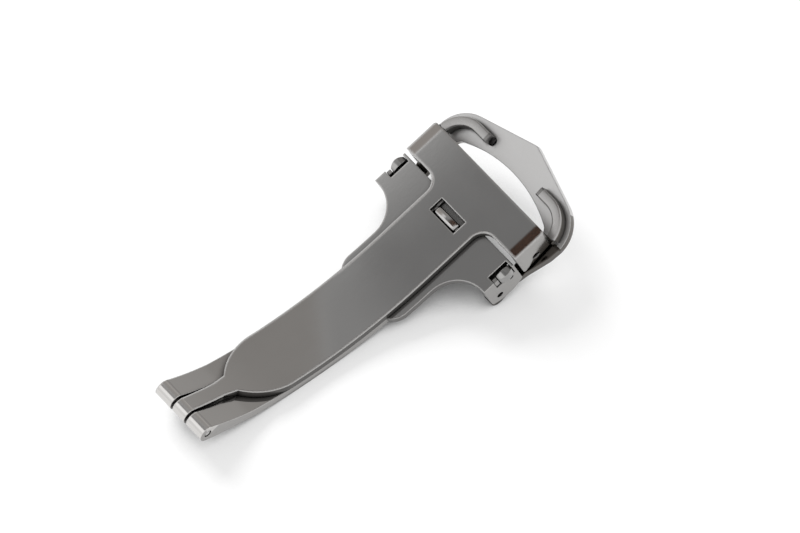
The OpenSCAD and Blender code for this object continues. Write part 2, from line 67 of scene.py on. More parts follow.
# Shader and geometry node helpers
class Value:  # an output socket that can be calculated with
    def __init__(self, tree, socket):
        self.tree = tree
        self.socket = socket

    def maths(self, operation, *others):
        return self.tree.node("ShaderNodeMath", dict(enumerate((self, *others))), {"operation": operation})

    def __add__(self, other):
        return self.maths("ADD", other)

    def __sub__(self, other):
        return self.maths("SUBTRACT", other)

    def __rsub__(self, other):
        return self.tree.node("ShaderNodeMath", {0: other, 1: self}, {"operation": "SUBTRACT"})

    def __mul__(self, other):
        return self.maths("MULTIPLY", other)

    def __truediv__(self, other):
        return self.maths("DIVIDE", other)

    def __pow__(self, other):
        return self.maths("POWER", other)

    def between(self, low, high):  # 0 below low, 1 above high
        limits = {"Value": self, "From Min": low, "From Max": high}
        return self.tree.node("ShaderNodeMapRange", limits, {"interpolation_type": "SMOOTHSTEP"})


class Tree:  # a node tree that is built by calls
    def __init__(self, nodeTree):
        self.nodeTree = nodeTree

    def fill(self, made, inputs):  # links a Value, sets anything else
        for key, value in inputs.items():
            if isinstance(value, Value):
                self.nodeTree.links.new(value.socket, made.inputs[key])
            else:
                made.inputs[key].default_value = value

    def node(self, kind, inputs=None, settings=None, out=0):  # gives the chosen output, if there is one
        made = self.nodeTree.nodes.new(kind)
        for key, value in (settings or {}).items():
            setattr(made, key, value)
        self.fill(made, inputs or {})
        return Value(self, made.outputs[out]) if len(made.outputs) else made

    def shade(self, factor, a, b):  # from colour a to colour b, which are inputs 6 and 7 of the node
        made = self.nodeTree.nodes.new("ShaderNodeMix")
        made.data_type = "RGBA"
        self.fill(made, {0: factor, 6: a, 7: b})
        return Value(self, made.outputs[2])

    def objectPoint(self):  # the object coordinates
        return self.node("ShaderNodeTexCoord", out=3)


def grey(level, warm=0.0):
    return (level * (1 + warm), level, level * (1 - warm), 1)


def emptyMaterial(name):
    material = bpy.data.materials.new(name)
    material.use_nodes = True
    material.node_tree.nodes.clear()
    return material, Tree(material.node_tree)


# Metal finishes: level and warmth of the colour, gloss, how strong, long and deep the polishing lines are,
# the softened edges in mm, and the reach in mm of the painted shade in corners where that isn't the usual
# one.
# Several are copies of one steel whose level paints light or shade, as said above each
bladeLook = {"level": 0.47, "warm": 0.02, "rough": 0.05, "lines": 0.02,
             "stretch": (60, 1400, 1400), "bump": 0.02}
finishes = {
    "polishedSteel": {**bladeLook, "edge": 0.2},
    "crownSteel": {**bladeLook, "edge": 0.45},
    # partly real, partly painted: the side walls are brushed, and their lower level than the wide faces is
    # painted shade
    "sideSteel": {"level": 0.37, "warm": 0.03, "rough": 0.17, "lines": 0.06,
                  "stretch": (80, 900, 2600), "bump": 0.06, "edge": 0.1},
    # painted shade: a much darker copy for the hollow walls between the blade and the ears
    "wingSteel": {"level": 0.16, "warm": 0.04, "rough": 0.15, "lines": 0.05,
                  "stretch": (80, 900, 2600), "bump": 0.05, "edge": 0.1},
    # partly real, partly painted: the knuckles' own lines run round them, and their lighter level is painted
    # highlight
    "knuckleSteel": {"level": 0.6, "warm": 0.03, "rough": 0.1, "lines": 0.05,
                     "stretch": (900, 80, 900), "bump": 0.06, "edge": 0.22},
    # painted highlight: a lighter copy of the latch steel, for the catch post and the hinge pin
    "latchHighlightSteel": {"level": 0.5, "warm": 0.02, "rough": 0.13, "lines": 0.05,
                   "stretch": (500, 500, 1500), "bump": 0.05, "edge": 0.12},
    # painted shade: a darker copy of the latch steel, for the pushers
    "pushShadeSteel": {"level": 0.34, "warm": 0.02, "rough": 0.12, "lines": 0.05,
                  "stretch": (500, 500, 1500), "bump": 0.05, "edge": 0.12},
    "satinSteel": {"level": 0.56, "warm": 0.008, "rough": 0.36, "lines": 0.1,
                   "stretch": (1500, 1500, 1500), "bump": 0.25, "edge": 0.14, "reach": 0.4},
    # painted light and shade: the rib's lit top and its darker flanks are copies of one steel
    "ribLitTop": {"level": 0.38, "warm": 0.02, "rough": 0.3, "lines": 0.12,
               "stretch": (2200, 2200, 900), "bump": 0.3, "edge": 0.14, "reach": 0.35},
    "ribShadedSide": {"level": 0.2, "warm": 0.03, "rough": 0.3, "lines": 0.16,
                "stretch": (2200, 2200, 900), "bump": 0.5, "edge": 0.12, "reach": 0.5},
    # painted reflection: a near-black copy for the upper blade's walls, which reflect the lower blade
    "gapSteel": {"level": 0.1, "warm": 0.05, "rough": 0.16, "lines": 0.06,
                 "stretch": (90, 900, 1800), "bump": 0.05, "edge": 0.12},
    # painted shade: a near-black, warm copy for the frame's arms, its rims' lower faces and the ribs' outer
    # flanks
    "armSteel": {"level": 0.085, "warm": 0.14, "rough": 0.14, "lines": 0.06,
                 "stretch": (90, 900, 1800), "bump": 0.05, "edge": 0.16},
    "pinSteel": {"level": 0.3, "warm": 0.02, "rough": 0.28, "lines": 0.1,
                 "stretch": (1800, 300, 1800), "bump": 0.15, "edge": 0.06},
    "springSteel": {"level": 0.3, "warm": 0.05, "rough": 0.3, "lines": 0.1,
                    "stretch": (1500, 1500, 1500), "bump": 0.1, "edge": 0.03},
    # partly real, partly painted: the latch housing is rougher, and its dark level is painted shade in its
    # recess
    "recessShadeSteel": {"level": 0.16, "warm": 0.02, "rough": 0.42, "lines": 0.15,
                    "stretch": (900, 900, 900), "bump": 0.3, "edge": 0.08},
}
noises = {
    "grain": {"Scale": 2.0, "Detail": 6.0, "Roughness": 0.62},  # polishing lines, when stretched
    "cloud": {"Scale": 220.0, "Detail": 2.0, "Roughness": 0.45},  # soft changes of tone
    "speckle": {"Scale": 5200.0, "Detail": 4.0, "Roughness": 0.7},  # fine handling marks
}
# How far the noises, and the painted shade in corners, change the tone, the gloss and the relief of all
# finishes
wearAndCornerShade = {"dark": 0.92, "light": 1.07, "lightWarmth": 0.6, "cloudTone": 0.4, "grainTone": 5, "cloudGloss": 0.04,
        "corner": (0.3, 0.92), "cornerLevel": 0.08, "cornerWarmth": 2, "cornerGloss": 0.15,
        "depth": 0.00002, "grainDepth": 0.7, "speckleDepth": 0.5, "samples": 6}


def makeFinishWithCornerShade(name, level, warm, rough, lines, stretch, bump, edge, reach=0.9):
    material, t = emptyMaterial(name)
    at = t.objectPoint()
    drawn = t.node("ShaderNodeMapping", {"Vector": at, "Scale": stretch, "Rotation": (0, -lie["tilt"], 0)})
    grain = t.node("ShaderNodeTexNoise", {"Vector": drawn, **noises["grain"]})
    cloud = t.node("ShaderNodeTexNoise", {"Vector": at, **noises["cloud"]})
    speckle = t.node("ShaderNodeTexNoise", {"Vector": at, **noises["speckle"]})
    height = grain * wearAndCornerShade["grainDepth"] + speckle * wearAndCornerShade["speckleDepth"]
    grain, cloud, speckle = (noise - 0.5 for noise in (grain, cloud, speckle))  # from here on round zero
    samples = {"samples": wearAndCornerShade["samples"]}
    openAir = t.node("ShaderNodeAmbientOcclusion", {"Distance": reach * mm}, samples, out=1)
    cornerShadeMask = openAir.between(*wearAndCornerShade["corner"])  # painted shade mask from ambient occlusion: 0 in a corner, 1 on an open face
    dark = grey(level * wearAndCornerShade["dark"], warm)
    light = grey(level * wearAndCornerShade["light"], warm * wearAndCornerShade["lightWarmth"])
    tone = t.shade(cloud * wearAndCornerShade["cloudTone"] + grain * lines * wearAndCornerShade["grainTone"] + 0.5, dark, light)
    # painted shade: the colour goes nearly black in corners
    colour = t.shade(cornerShadeMask, grey(level * wearAndCornerShade["cornerLevel"], warm * wearAndCornerShade["cornerWarmth"]), tone)
    marks = grain * lines + cloud * wearAndCornerShade["cloudGloss"] + speckle * lines
    roughness = marks + (1 - cornerShadeMask) * wearAndCornerShade["cornerGloss"] + rough
    softEdge = t.node("ShaderNodeBevel", {"Radius": edge * mm}, samples)
    relief = t.node("ShaderNodeBump", {"Strength": bump, "Distance": wearAndCornerShade["depth"],
                                       "Height": height, "Normal": softEdge})
    shader = t.node("ShaderNodeBsdfPrincipled", {"Base Color": colour, "Metallic": 1.0,
                                                 "Roughness": roughness, "Normal": relief})
    t.node("ShaderNodeOutputMaterial", {"Surface": shader})
    return material


metal = {name: makeFinishWithCornerShade(name, **finish) for name, finish in finishes.items()}
print("finishes made")


def addPiece(name, mesh, body, nodes=()):
    piece = linked(name, mesh)
    if nodes:
        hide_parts(*nodes)
    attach(piece, body)
    return piece


# Distances in metres for merging, welding and cutting, angles in degrees for flat joints and sharp edges,
# and how much larger faces count in the weighted normals
meshing = {"merge": 1.5e-6, "weld": 1e-7, "cut": 1e-8, "flat": 0.5, "sharp": 28, "weight": 60}


def evaluated(mesh, setup):  # the mesh after the modifier that setup adds
    holder = linked("holder", mesh)
    setup(holder)
    shown = holder.evaluated_get(bpy.context.evaluated_depsgraph_get())
    result = bpy.data.meshes.new_from_object(shown)
    holder.modifiers.clear()
    bpy.data.objects.remove(holder)
    return result


def weightedNormals(holder):
    modifier = holder.modifiers.new("normals", "WEIGHTED_NORMAL")
    modifier.mode = "FACE_AREA_WITH_ANGLE"
    modifier.keep_sharp = True
    modifier.weight = meshing["weight"]


def meshOf(bm, name):
    mesh = bpy.data.meshes.new(name)
    bm.to_mesh(mesh)
    bm.free()
    return mesh


def softFaces(mesh, angle):  # smooth, with sharp edges above this angle in degrees
    for face in mesh.polygons:
        face.use_smooth = True
    mesh.set_sharp_from_angle(angle=math.radians(angle))


# The blades' side profile in mm in the clasp's own frame: the hinge, and the arcs after the flat part
hinge = {"x": -40.59, "z": 9.445, "radius": 1.0}
bend = {"x": -12.5, "radius": 42.0, "upperLow": 42.75, "lowerTop": 42.8, "lowerLow": 43.65}
inner = bend["lowerLow"] - hinge["radius"]  # the lower blade's underside is one wider arc
hingeLift = bend["radius"] - hinge["z"]
bend["rise"] = ((bend["radius"] + hinge["radius"]) ** 2 - inner ** 2) / (2 * (inner - hingeLift))
# Each arc: how far its centre is raised, its radius, and if its face looks outwards (1) or to the centre (-1)
curves = [(0, bend["radius"], -1), (0, bend["upperLow"], 1), (0, bend["lowerTop"], -1),
          (bend["rise"], bend["lowerLow"] + bend["rise"], 1)]
# How near a corner has to be to the profile, in mm, and how far a face may lean, as parts of its normal
fit = {"joint": 0.01, "radius": 0.02, "flat": 0.9995, "arc": 0.995, "corner": 0.99, "side": 0.05, "wide": 0.5}


def arcNormal(at, normal):  # the exact normal at a wide face's corner, if that is on the flat or on an arc
    if at.x > bend["x"] - fit["joint"]:
        level = abs(normal.z) > fit["flat"] or at.x < bend["x"] + fit["joint"]
        return Vector((0, 0, 1 if normal.z > 0 else -1)) if level else None
    found = None
    for rise, radius, way in curves:
        arm = Vector((at.x - bend["x"], 0, at.z - bend["radius"] - rise))
        exact = arm.normalized() * way
        if abs(arm.length - radius) < fit["radius"] and exact.dot(normal) > fit["arc"]:
            found = exact
    return found


def trueNormals(mesh):  # exact normals for the wide faces, so that they reflect without facets
    turned = tiltedFrame.to_3x3()
    back = turned.inverted()
    corners = [Vector(c.vector) for c in mesh.corner_normals]
    for face in mesh.polygons:
        faceNormal = back @ face.normal
        if abs(faceNormal.y) > fit["side"] or abs(faceNormal.z) < fit["wide"]:
            continue
        for k in face.loop_indices:
            at = own(mesh.vertices[mesh.loops[k].vertex_index].co)
            exact = arcNormal(at, faceNormal)
            if exact is not None and exact.dot(faceNormal) > fit["corner"]:
                corners[k] = turned @ exact
    mesh.normals_split_custom_set([tuple(c) for c in corners])


def cutZone(bm, zone):  # cuts the faces at a zone's borders, and marks those in it with material 1
    axes = tiltedFrame.to_3x3()
    cuts = [((zone["from"], 0, 0), (1, 0, 0)), ((zone["to"], 0, 0), (1, 0, 0)),
            ((0, zone["half"], 0), (0, 1, 0)), ((0, -zone["half"], 0), (0, 1, 0))]
    for at, way in cuts:
        bmesh.ops.bisect_plane(bm, geom=bm.verts[:] + bm.edges[:] + bm.faces[:], dist=meshing["cut"],
                               plane_co=place(*at), plane_no=axes @ Vector(way))
    for face in bm.faces:
        at = own(face.calc_center_median())
        face.material_index = int(zone["from"] < at.x < zone["to"] and abs(at.y) < zone["half"])


# The blades and the frame: their solids, merged, with a finish for each kind of surface, where darker and
# lighter copies paint shade and highlights
def dressedMesh(node, finishOf, dropped=None, crisp=None):
    bm = bmesh.new()
    bm.from_mesh(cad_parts[node].data)
    bmesh.ops.remove_doubles(bm, verts=bm.verts, dist=meshing["merge"])
    if dropped:
        gone = [face for face in bm.faces if dropped(own(face.calc_center_median()))]
        bmesh.ops.delete(bm, geom=gone, context="FACES")
    if crisp:
        cutZone(bm, crisp)
    bmesh.ops.dissolve_limit(bm, angle_limit=math.radians(meshing["flat"]), verts=bm.verts, edges=bm.edges,
                             delimit={"MATERIAL"})
    mesh = meshOf(bm, node)
    softFaces(mesh, meshing["sharp"])
    crispFaces = [face.material_index == 1 for face in mesh.polygons]
    mesh = evaluated(mesh, weightedNormals)
    back = tiltedFrame.inverted().to_3x3()
    chosen = [finishOf(own(face.center), back @ face.normal) for face in mesh.polygons]
    if crisp:  # outside the zone the polished faces have rounder edges
        chosen = ["crownSteel" if kind == "polishedSteel" and not inside else kind
                  for kind, inside in zip(chosen, crispFaces)]
    kinds = sorted(set(chosen))
    mesh.materials.clear()
    for kind in kinds:
        mesh.materials.append(metal[kind])
    for face, kind in zip(mesh.polygons, chosen):
        face.material_index = kinds.index(kind)
    trueNormals(mesh)
    return mesh


# Where the finish and its painted shade change, in mm in the clasp's own frame, and how far up the faces of
# each kind look
zones = {"knuckle": 0.7, "hollow": (-19.5, -9.1), "cheekLeft": -4.25, "cheekRight": -4.18, "arm": 0.15,
         "rimSide": 6.5, "rimFront": 3.5, "plate": 0.3, "aboveIt": 0.02}
facing = {"wide": 0.6, "rim": 0.3}
window = {"from": -7.5, "to": -4.7, "half": 2.5}
platePlane = {"tilt": math.radians(10), "drop": 3.8}


def bladeSurface(at, normal, wall):
    fromHinge = math.hypot(at.x - hinge["x"], at.z - hinge["z"])
    # the knuckles get a lighter copy as painted highlight, and the walls a darker one as painted shade
    if fromHinge < hinge["radius"] + fit["radius"] and at.x < hinge["x"] + zones["knuckle"]:
        return "knuckleSteel"
    return "polishedSteel" if abs(normal.z) > facing["wide"] else wall


def lowerSurface(at, normal):  # painted shade: the hollow walls between the blade and the ears are darker
    low, high = zones["hollow"]
    return bladeSurface(at, normal, "wingSteel" if low < at.x < high else "sideSteel")


def upperSurface(at, normal):  # painted reflection: the walls get a dark copy as they reflect the lower blade, but not the cheeks
    cheek = zones["cheekRight"] if at.y < 0 else zones["cheekLeft"]
    return bladeSurface(at, normal, "gapSteel" if at.x < cheek else "sideSteel")


def frameSurface(at, normal):
    # painted shade: the arms and the rim's lower faces get the near-black copy
    onRim = normal.z < facing["rim"] and abs(at.y) > zones["rimSide"] and at.x < zones["rimFront"]
    return "armSteel" if at.x < zones["arm"] or onRim else "satinSteel"


def ribInCad(at):  # the solid's own ribs, above the front plate, give way to the swept ones
    height = (at.z + platePlane["drop"]) * math.cos(platePlane["tilt"]) - at.x * math.sin(platePlane["tilt"])
    return at.x > zones["plate"] and height > zones["aboveIt"]


upperMesh = dressedMesh("upper_blade", upperSurface, crisp=window)
addPiece("upper_blade_polished", upperMesh, "upper_blade", ["upper_blade"])
lowerMesh = dressedMesh("lower_blade", lowerSurface)
addPiece("lower_blade_polished", lowerMesh, "lower_blade", ["lower_blade"])
frameMesh = dressedMesh("frame", frameSurface, dropped=ribInCad)
addPiece("frame_satin", frameMesh, "frame", ["frame"])
print("blades and frame dressed")


class Shape(Tree):  # a geometry node tree with named inputs
    def __init__(self, name, inputs):
        group = bpy.data.node_groups.new(name, "GeometryNodeTree")
        super().__init__(group)
        group.interface.new_socket("Geometry", in_out="INPUT", socket_type="NodeSocketGeometry")
        self.keys = {}
        for label, value in inputs.items():
            kind = "NodeSocketInt" if isinstance(value, int) else "NodeSocketFloat"
            made = group.interface.new_socket(label, in_out="INPUT", socket_type=kind)
            made.default_value = value
            self.keys[label] = made.identifier
        group.interface.new_socket("Geometry", in_out="OUTPUT", socket_type="NodeSocketGeometry")
        self.entry = group.nodes.new("NodeGroupInput")

    def given(self, label):
        return Value(self, self.entry.outputs[label])

    def close(self, geometry, material):
        real = self.node("GeometryNodeRealizeInstances", {"Geometry": geometry})
        painted = self.node("GeometryNodeSetMaterial", {"Geometry": real, "Material": material})
        self.node("NodeGroupOutput", {"Geometry": painted})

    def onto(self, holder, values):
        modifier = holder.modifiers.new(self.nodeTree.name, "NODES")
        modifier.node_group = self.nodeTree
        for label, value in values.items():
            modifier[self.keys[label]] = value


def smoothed(mesh, matrix, angle):
    mesh.transform(matrix)
    bm = bmesh.new()
    bm.from_mesh(mesh)
    bmesh.ops.remove_doubles(bm, verts=bm.verts, dist=meshing["weld"])
    bmesh.ops.recalc_face_normals(bm, faces=bm.faces)
    bm.to_mesh(mesh)
    bm.free()
    softFaces(mesh, angle)
    return mesh


# Coil springs: a wire swept along a helix, in mm
alongY = Matrix.Rotation(math.radians(-90), 4, "X")
pushCoil = {"body": "lower_blade", "turns": 9.0, "radius": 0.38, "length": 2.66, "wire": 0.07, "keep": 0.87}
barCoil = {"body": "upper_blade", "turns": 12.0, "radius": 0.42, "length": 4.67, "wire": 0.075, "keep": 0.8}
coilEdges = {"helix": 24, "wire": 10, "sharp": 60}
springs = {
    "pusher_spring_left": {**pushCoil, "node": "pusher_spring_left", "joint": "push_left",
                           "at": (-6.25, 3.27, -2.35), "fixed": 3.2},
    "pusher_spring_right": {**pushCoil, "node": "pusher_spring_right", "joint": "push_right",
                            "at": (-6.25, -5.93, -2.35), "fixed": -3.2},
    "strap_bar_spring_left": {**barCoil, "node": "strap_bar_spring", "joint": "tip_left",
                              "at": (-2.1, 0, -2.964), "fixed": 0},
    "strap_bar_spring_right": {**barCoil, "node": None, "joint": "tip_right",
                               "at": (-2.1, -4.67, -2.964), "fixed": 0},
}
coil = Shape("coil_spring", {"Turns": pushCoil["turns"], "Radius": pushCoil["radius"] * mm,
                             "Length": pushCoil["length"] * mm, "Wire": pushCoil["wire"] * mm})
helix = coil.node("GeometryNodeCurveSpiral", {
    "Resolution": coilEdges["helix"], "Rotations": coil.given("Turns"), "Start Radius": coil.given("Radius"),
    "End Radius": coil.given("Radius"), "Height": coil.given("Length")})
wireRound = coil.node("GeometryNodeCurvePrimitiveCircle", {
    "Resolution": coilEdges["wire"], "Radius": coil.given("Wire")})
sweep = coil.node("GeometryNodeCurveToMesh", {"Curve": helix, "Profile Curve": wireRound, "Fill Caps": True})
coil.close(sweep, metal["springSteel"])
for name, size in springs.items():
    values = {"Turns": size["turns"], "Radius": size["radius"] * mm,
              "Length": size["length"] * mm, "Wire": size["wire"] * mm}
    wound = evaluated(bpy.data.meshes.new(name), lambda holder: coil.onto(holder, values))
    smoothed(wound, tiltedFrame @ Matrix.Translation(Vector(size["at"]) * mm) @ alongY, coilEdges["sharp"])
    replaced = [size["node"]] if size["node"] else []
    spring = addPiece(name + "_coil", wound, size["body"], replaced)
    fixedEnd = place(size["at"][0], size["fixed"], size["at"][2])
    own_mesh(spring)
print("springs wound")

# Rivets of the latch housing: a row of domed heads and shanks, in mm
rivets = {"count": 4, "first": -4.8, "apart": 3.2, "head": 0.36, "rise": 0.2, "shank": 0.2, "depth": 0.7,
          "at": (-8.15, 0, -1.96), "edges": 32, "rings": 16, "sharp": 35}
rivet = Shape("rivet_row", {
    "Count": rivets["count"], "Head": rivets["head"] * mm, "Rise": rivets["rise"] * mm,
    "Shank": rivets["shank"] * mm, "Depth": rivets["depth"] * mm})
row = rivet.node("GeometryNodeMeshLine", {
    "Count": rivet.given("Count"), "Start Location": (0, rivets["first"] * mm, 0),
    "Offset": (0, rivets["apart"] * mm, 0)})
ball = rivet.node("GeometryNodeMeshUVSphere", {
    "Segments": rivets["edges"], "Rings": rivets["rings"], "Radius": rivet.given("Head")})
flatness = rivet.given("Rise") / rivet.given("Head")
flat = rivet.node("ShaderNodeCombineXYZ", {"X": 1.0, "Y": 1.0, "Z": flatness})
dome = rivet.node("GeometryNodeTransform", {"Geometry": ball, "Scale": flat})
stem = rivet.node("GeometryNodeMeshCylinder", {
    "Vertices": rivets["edges"], "Radius": rivet.given("Shank"), "Depth": rivet.given("Depth")})
stem = rivet.node("GeometryNodeTransform", {
    "Geometry": stem, "Translation": (0, 0, rivets["depth"] / 2 * mm)})
joined = rivet.node("GeometryNodeJoinGeometry")
for part in (stem, dome):
    rivet.nodeTree.links.new(part.socket, joined.socket.node.inputs[0])
spread = rivet.node("GeometryNodeInstanceOnPoints", {"Points": row, "Instance": joined})
rivet.close(spread, metal["pinSteel"])
values = {"Count": rivets["count"]}
heads = evaluated(bpy.data.meshes.new("rivets"), lambda holder: rivet.onto(holder, values))
smoothed(heads, tiltedFrame @ Matrix.Translation(Vector(rivets["at"]) * mm), rivets["sharp"])
addPiece("housing_rivet_row", heads, "lower_blade", ["housing_rivets"])

# Ribs of the frame: a rounded section swept round each corner of the plate and on towards its middle, in mm
ribs = {"cornerX": 0.1, "cornerY": 5.95, "radius": 2.975, "turn": 83, "end": 4.75, "short": 0.55,
        "width": 1.07, "height": 1.85, "edge": 0.16, "base": -0.45, "darkEnd": 0.2,
        "steps": 24, "edgeSteps": 5, "sharp": 35}
ribTip = {"from": 0.92, "length": 0.08, "full": 1.001}  # the rounded front end, in shares of the route
rib = Shape("swept_rib", {
    "Width": ribs["width"] * mm, "Height": ribs["height"] * mm, "Edge": ribs["edge"] * mm})
route = rib.node("GeometryNodeMeshToCurve", {"Mesh": rib.given("Geometry")})
route = rib.node("GeometryNodeSetCurveNormal", {"Curve": route}, {"mode": "Z_UP"})
along = rib.node("GeometryNodeSplineParameter")
tip = ((along - ribTip["from"]) / ribTip["length"]).maths("MAXIMUM", 0.0)
thickness = (ribTip["full"] - tip * tip) ** 0.5
route = rib.node("GeometryNodeSetCurveRadius", {"Curve": route, "Radius": thickness})
section = rib.node("GeometryNodeCurvePrimitiveQuadrilateral", {
    "Width": rib.given("Width"), "Height": rib.given("Height")})
section = rib.node("GeometryNodeFilletCurve", {
    "Curve": section, "Radius": rib.given("Edge"), "Count": ribs["edgeSteps"]}, {"mode": "POLY"})
sweep = rib.node("GeometryNodeCurveToMesh", {"Curve": route, "Profile Curve": section, "Fill Caps": True})
rib.close(sweep, metal["ribLitTop"])


def ribPaintedShade(mesh, side):  # painted light and shade: a light top, a darker front end and inner flank, and a nearly black outer flank
    kinds = ["ribLitTop", "ribShadedSide", "armSteel"]
    mesh.materials.clear()
    for kind in kinds:
        mesh.materials.append(metal[kind])
    for face in mesh.polygons:
        x, y, z = face.center / mm
        acrossX = x - ribs["cornerX"]
        pastCorner = side * y - ribs["cornerY"]
        reach = math.hypot(acrossX, pastCorner) if pastCorner > 0 else acrossX
        kind = "ribShadedSide" if reach < ribs["radius"] else "armSteel"
        if side * y < ribs["end"] - ribs["darkEnd"]:
            kind = "ribShadedSide"
        elif z > ribs["height"] / 2 - ribs["edge"]:
            kind = "ribLitTop"
        face.material_index = kinds.index(kind)


def ribRoute(side):  # from the arm round the corner, then straight towards the plate's middle
    points = []
    for step in range(ribs["steps"] + 1):
        angle = math.radians(ribs["turn"] - ribs["turn"] * step / ribs["steps"])
        y = ribs["cornerY"] + ribs["radius"] * math.sin(angle)
        points.append((ribs["cornerX"] + ribs["radius"] * math.cos(angle), side * y, 0))
    for step in range(1, ribs["steps"] + 1):
        straight = (ribs["end"] - ribs["short"] - ribs["cornerY"]) * step / ribs["steps"]
        points.append((ribs["cornerX"] + ribs["radius"], side * (ribs["cornerY"] + straight), 0))
    line = bpy.data.meshes.new("route")
    line.from_pydata([Vector(p) * mm for p in points], [(i, i + 1) for i in range(len(points) - 1)], [])
    return line


plateTurn = Matrix.Rotation(-platePlane["tilt"], 4, "Y")
onPlate = tiltedFrame @ Matrix.Translation((0, 0, -platePlane["drop"] * mm)) @ plateTurn
lift = Matrix.Translation((0, 0, (ribs["base"] + ribs["height"] / 2) * mm))
for side, label in ((1, "left"), (-1, "right")):
    swept = evaluated(ribRoute(side), lambda holder: rib.onto(holder, {"Edge": ribs["edge"] * mm}))
    ribPaintedShade(swept, side)
    addPiece("frame_rib_" + label, smoothed(swept, onPlate @ lift, ribs["sharp"]), "frame")
print("rivets and ribs made")


# Turned pins: a profile of (radius, distance along the pin) in mm, spun about the pin's axis
turning = {"edges": 48, "sharp": 40, "edgeShare": 0.3, "domeShare": 0.5, "domeRise": (0.02, 0.03)}


def ring(radius, x, y, z):
    corners = []
    for k in range(turning["edges"]):
        angle = 2 * math.pi * k / turning["edges"]
        corners.append(place(x + radius * math.cos(angle), y, z + radius * math.sin(angle)))
    return corners


def turnedPin(name, profile, at, side, body, finish, node):
    bm = bmesh.new()
    rings = []
    for radius, y in profile:
        middle = [place(at[0], side * y, at[1])]
        corners = ring(radius, at[0], side * y, at[1]) if radius > 0 else middle
        rings.append([bm.verts.new(corner) for corner in corners])
    for low, high in zip(rings, rings[1:]):
        for k in range(turning["edges"]):
            following = k + 1
            corners = [low[k % len(low)], low[following % len(low)],
                       high[following % len(high)], high[k % len(high)]]
            bm.faces.new(list(dict.fromkeys(corners)))
    mesh = meshOf(bm, name)
    mesh.materials.append(metal[finish])
    addPiece(name, smoothed(mesh, Matrix.Identity(4), turning["sharp"]), body, [node])


def roundEnd(radius, y, out, chamfer):  # the outer end of a pin: an edge and a slightly domed face
    part = turning["edgeShare"]
    low, high = turning["domeRise"]
    return [(radius, y - out * chamfer), (radius - part * chamfer, y - out * chamfer * part),
            (radius - chamfer, y), (radius * turning["domeShare"], y + out * low), (0, y + out * high)]


pins = {
    "frame_pin": {"at": (-7.67, -4.02), "radius": 0.4, "from": 6.98, "to": 8.72, "chamfer": 0.1},
    "housing_pin": {"at": (-5.64, -2.62), "radius": 0.3, "from": 6.48, "to": 8.7, "chamfer": 0.08},
}
strapTip = {"at": (-2.1, -2.964), "radius": 0.4, "to": 8.68, "chamfer": 0.1,
            "collar": [(0, 4.75), (0.45, 4.75), (0.52, 4.82), (0.52, 6.78), (0.46, 6.84), (0.4, 6.86)]}
hingeEnd = [(0.45, 3.52), (0.43, 3.6), (0.36, 3.64), (0.26, 3.62), (0.16, 3.52), (0, 3.48)]
for label, side in (("left", 1), ("right", -1)):
    for name, pin in pins.items():
        start = roundEnd(pin["radius"], pin["from"], -1, pin["chamfer"])[::-1]
        profile = start + roundEnd(pin["radius"], pin["to"], 1, pin["chamfer"])
        turnedPin(name + "_turned_" + label, profile, pin["at"], side, "lower_blade", "pinSteel",
                  name + "_" + label)
    profile = strapTip["collar"] + roundEnd(strapTip["radius"], strapTip["to"], 1, strapTip["chamfer"])
    turnedPin("strap_tip_turned_" + label, profile, strapTip["at"], side, "strap_tip_" + label, "pinSteel",
              "strap_bar_tip_" + label)
profile = [(radius, -y) for radius, y in hingeEnd[::-1]] + hingeEnd
turnedPin("hinge_pin_turned", profile, (hinge["x"], hinge["z"]), 1, "lower_blade", "latchHighlightSteel", "hinge_pin")
print("pins turned")

# The catch post in the window: a bar with a crowned top and softened edges, in mm
post = {"x": -6.365, "halfWidth": 0.53, "halfLength": 1.645, "base": -0.79, "top": -0.085, "crossCrown": 0.13,
        "longCrown": 0.2, "edge": 0.16, "leastHeight": 0.05, "rows": 14, "columns": 30, "sharp": 50}


def edgeDrop(distance, half):  # how far a rounded edge has fallen at this distance from the middle
    past = max(0.0, min(1.0, (distance - (half - post["edge"])) / post["edge"]))
    return post["edge"] * (1 - math.sqrt(1 - past * past))


def postHeight(u, v):  # u and v go from -1 to 1 across and along the post
    crown = post["top"] - post["crossCrown"] * u * u - post["longCrown"] * v * v
    across = edgeDrop(abs(u * post["halfWidth"]), post["halfWidth"])
    alongIt = edgeDrop(abs(v * post["halfLength"]), post["halfLength"])
    return max(crown - across - alongIt, post["base"] + post["leastHeight"])


def spacing(count):  # from -1 to 1, closer near the ends
    return [math.sin(math.pi * (i / count - 0.5)) for i in range(count + 1)]


bm = bmesh.new()
grid = [[bm.verts.new(place(post["x"] + u * post["halfWidth"], v * post["halfLength"], postHeight(u, v)))
         for v in spacing(post["columns"])] for u in spacing(post["rows"])]
for near, far in zip(grid, grid[1:]):
    for j in range(post["columns"]):
        bm.faces.new((near[j], far[j], far[j + 1], near[j + 1]))
rim = [line[0] for line in grid[:-1]] + grid[-1][:-1] + [line[-1] for line in grid[:0:-1]] + grid[0][:0:-1]
foot = []
for corner in rim:
    at = own(corner.co)
    foot.append(bm.verts.new(place(at.x, at.y, post["base"])))
for k in range(len(rim)):
    following = (k + 1) % len(rim)
    bm.faces.new((rim[k], foot[k], foot[following], rim[following]))
bm.faces.new(foot)
postMesh = meshOf(bm, "post")
postMesh.materials.append(metal["latchHighlightSteel"])
smoothed(postMesh, Matrix.Identity(4), post["sharp"])
addPiece("catch_post_crowned", postMesh, "lower_blade", ["catch_post"])

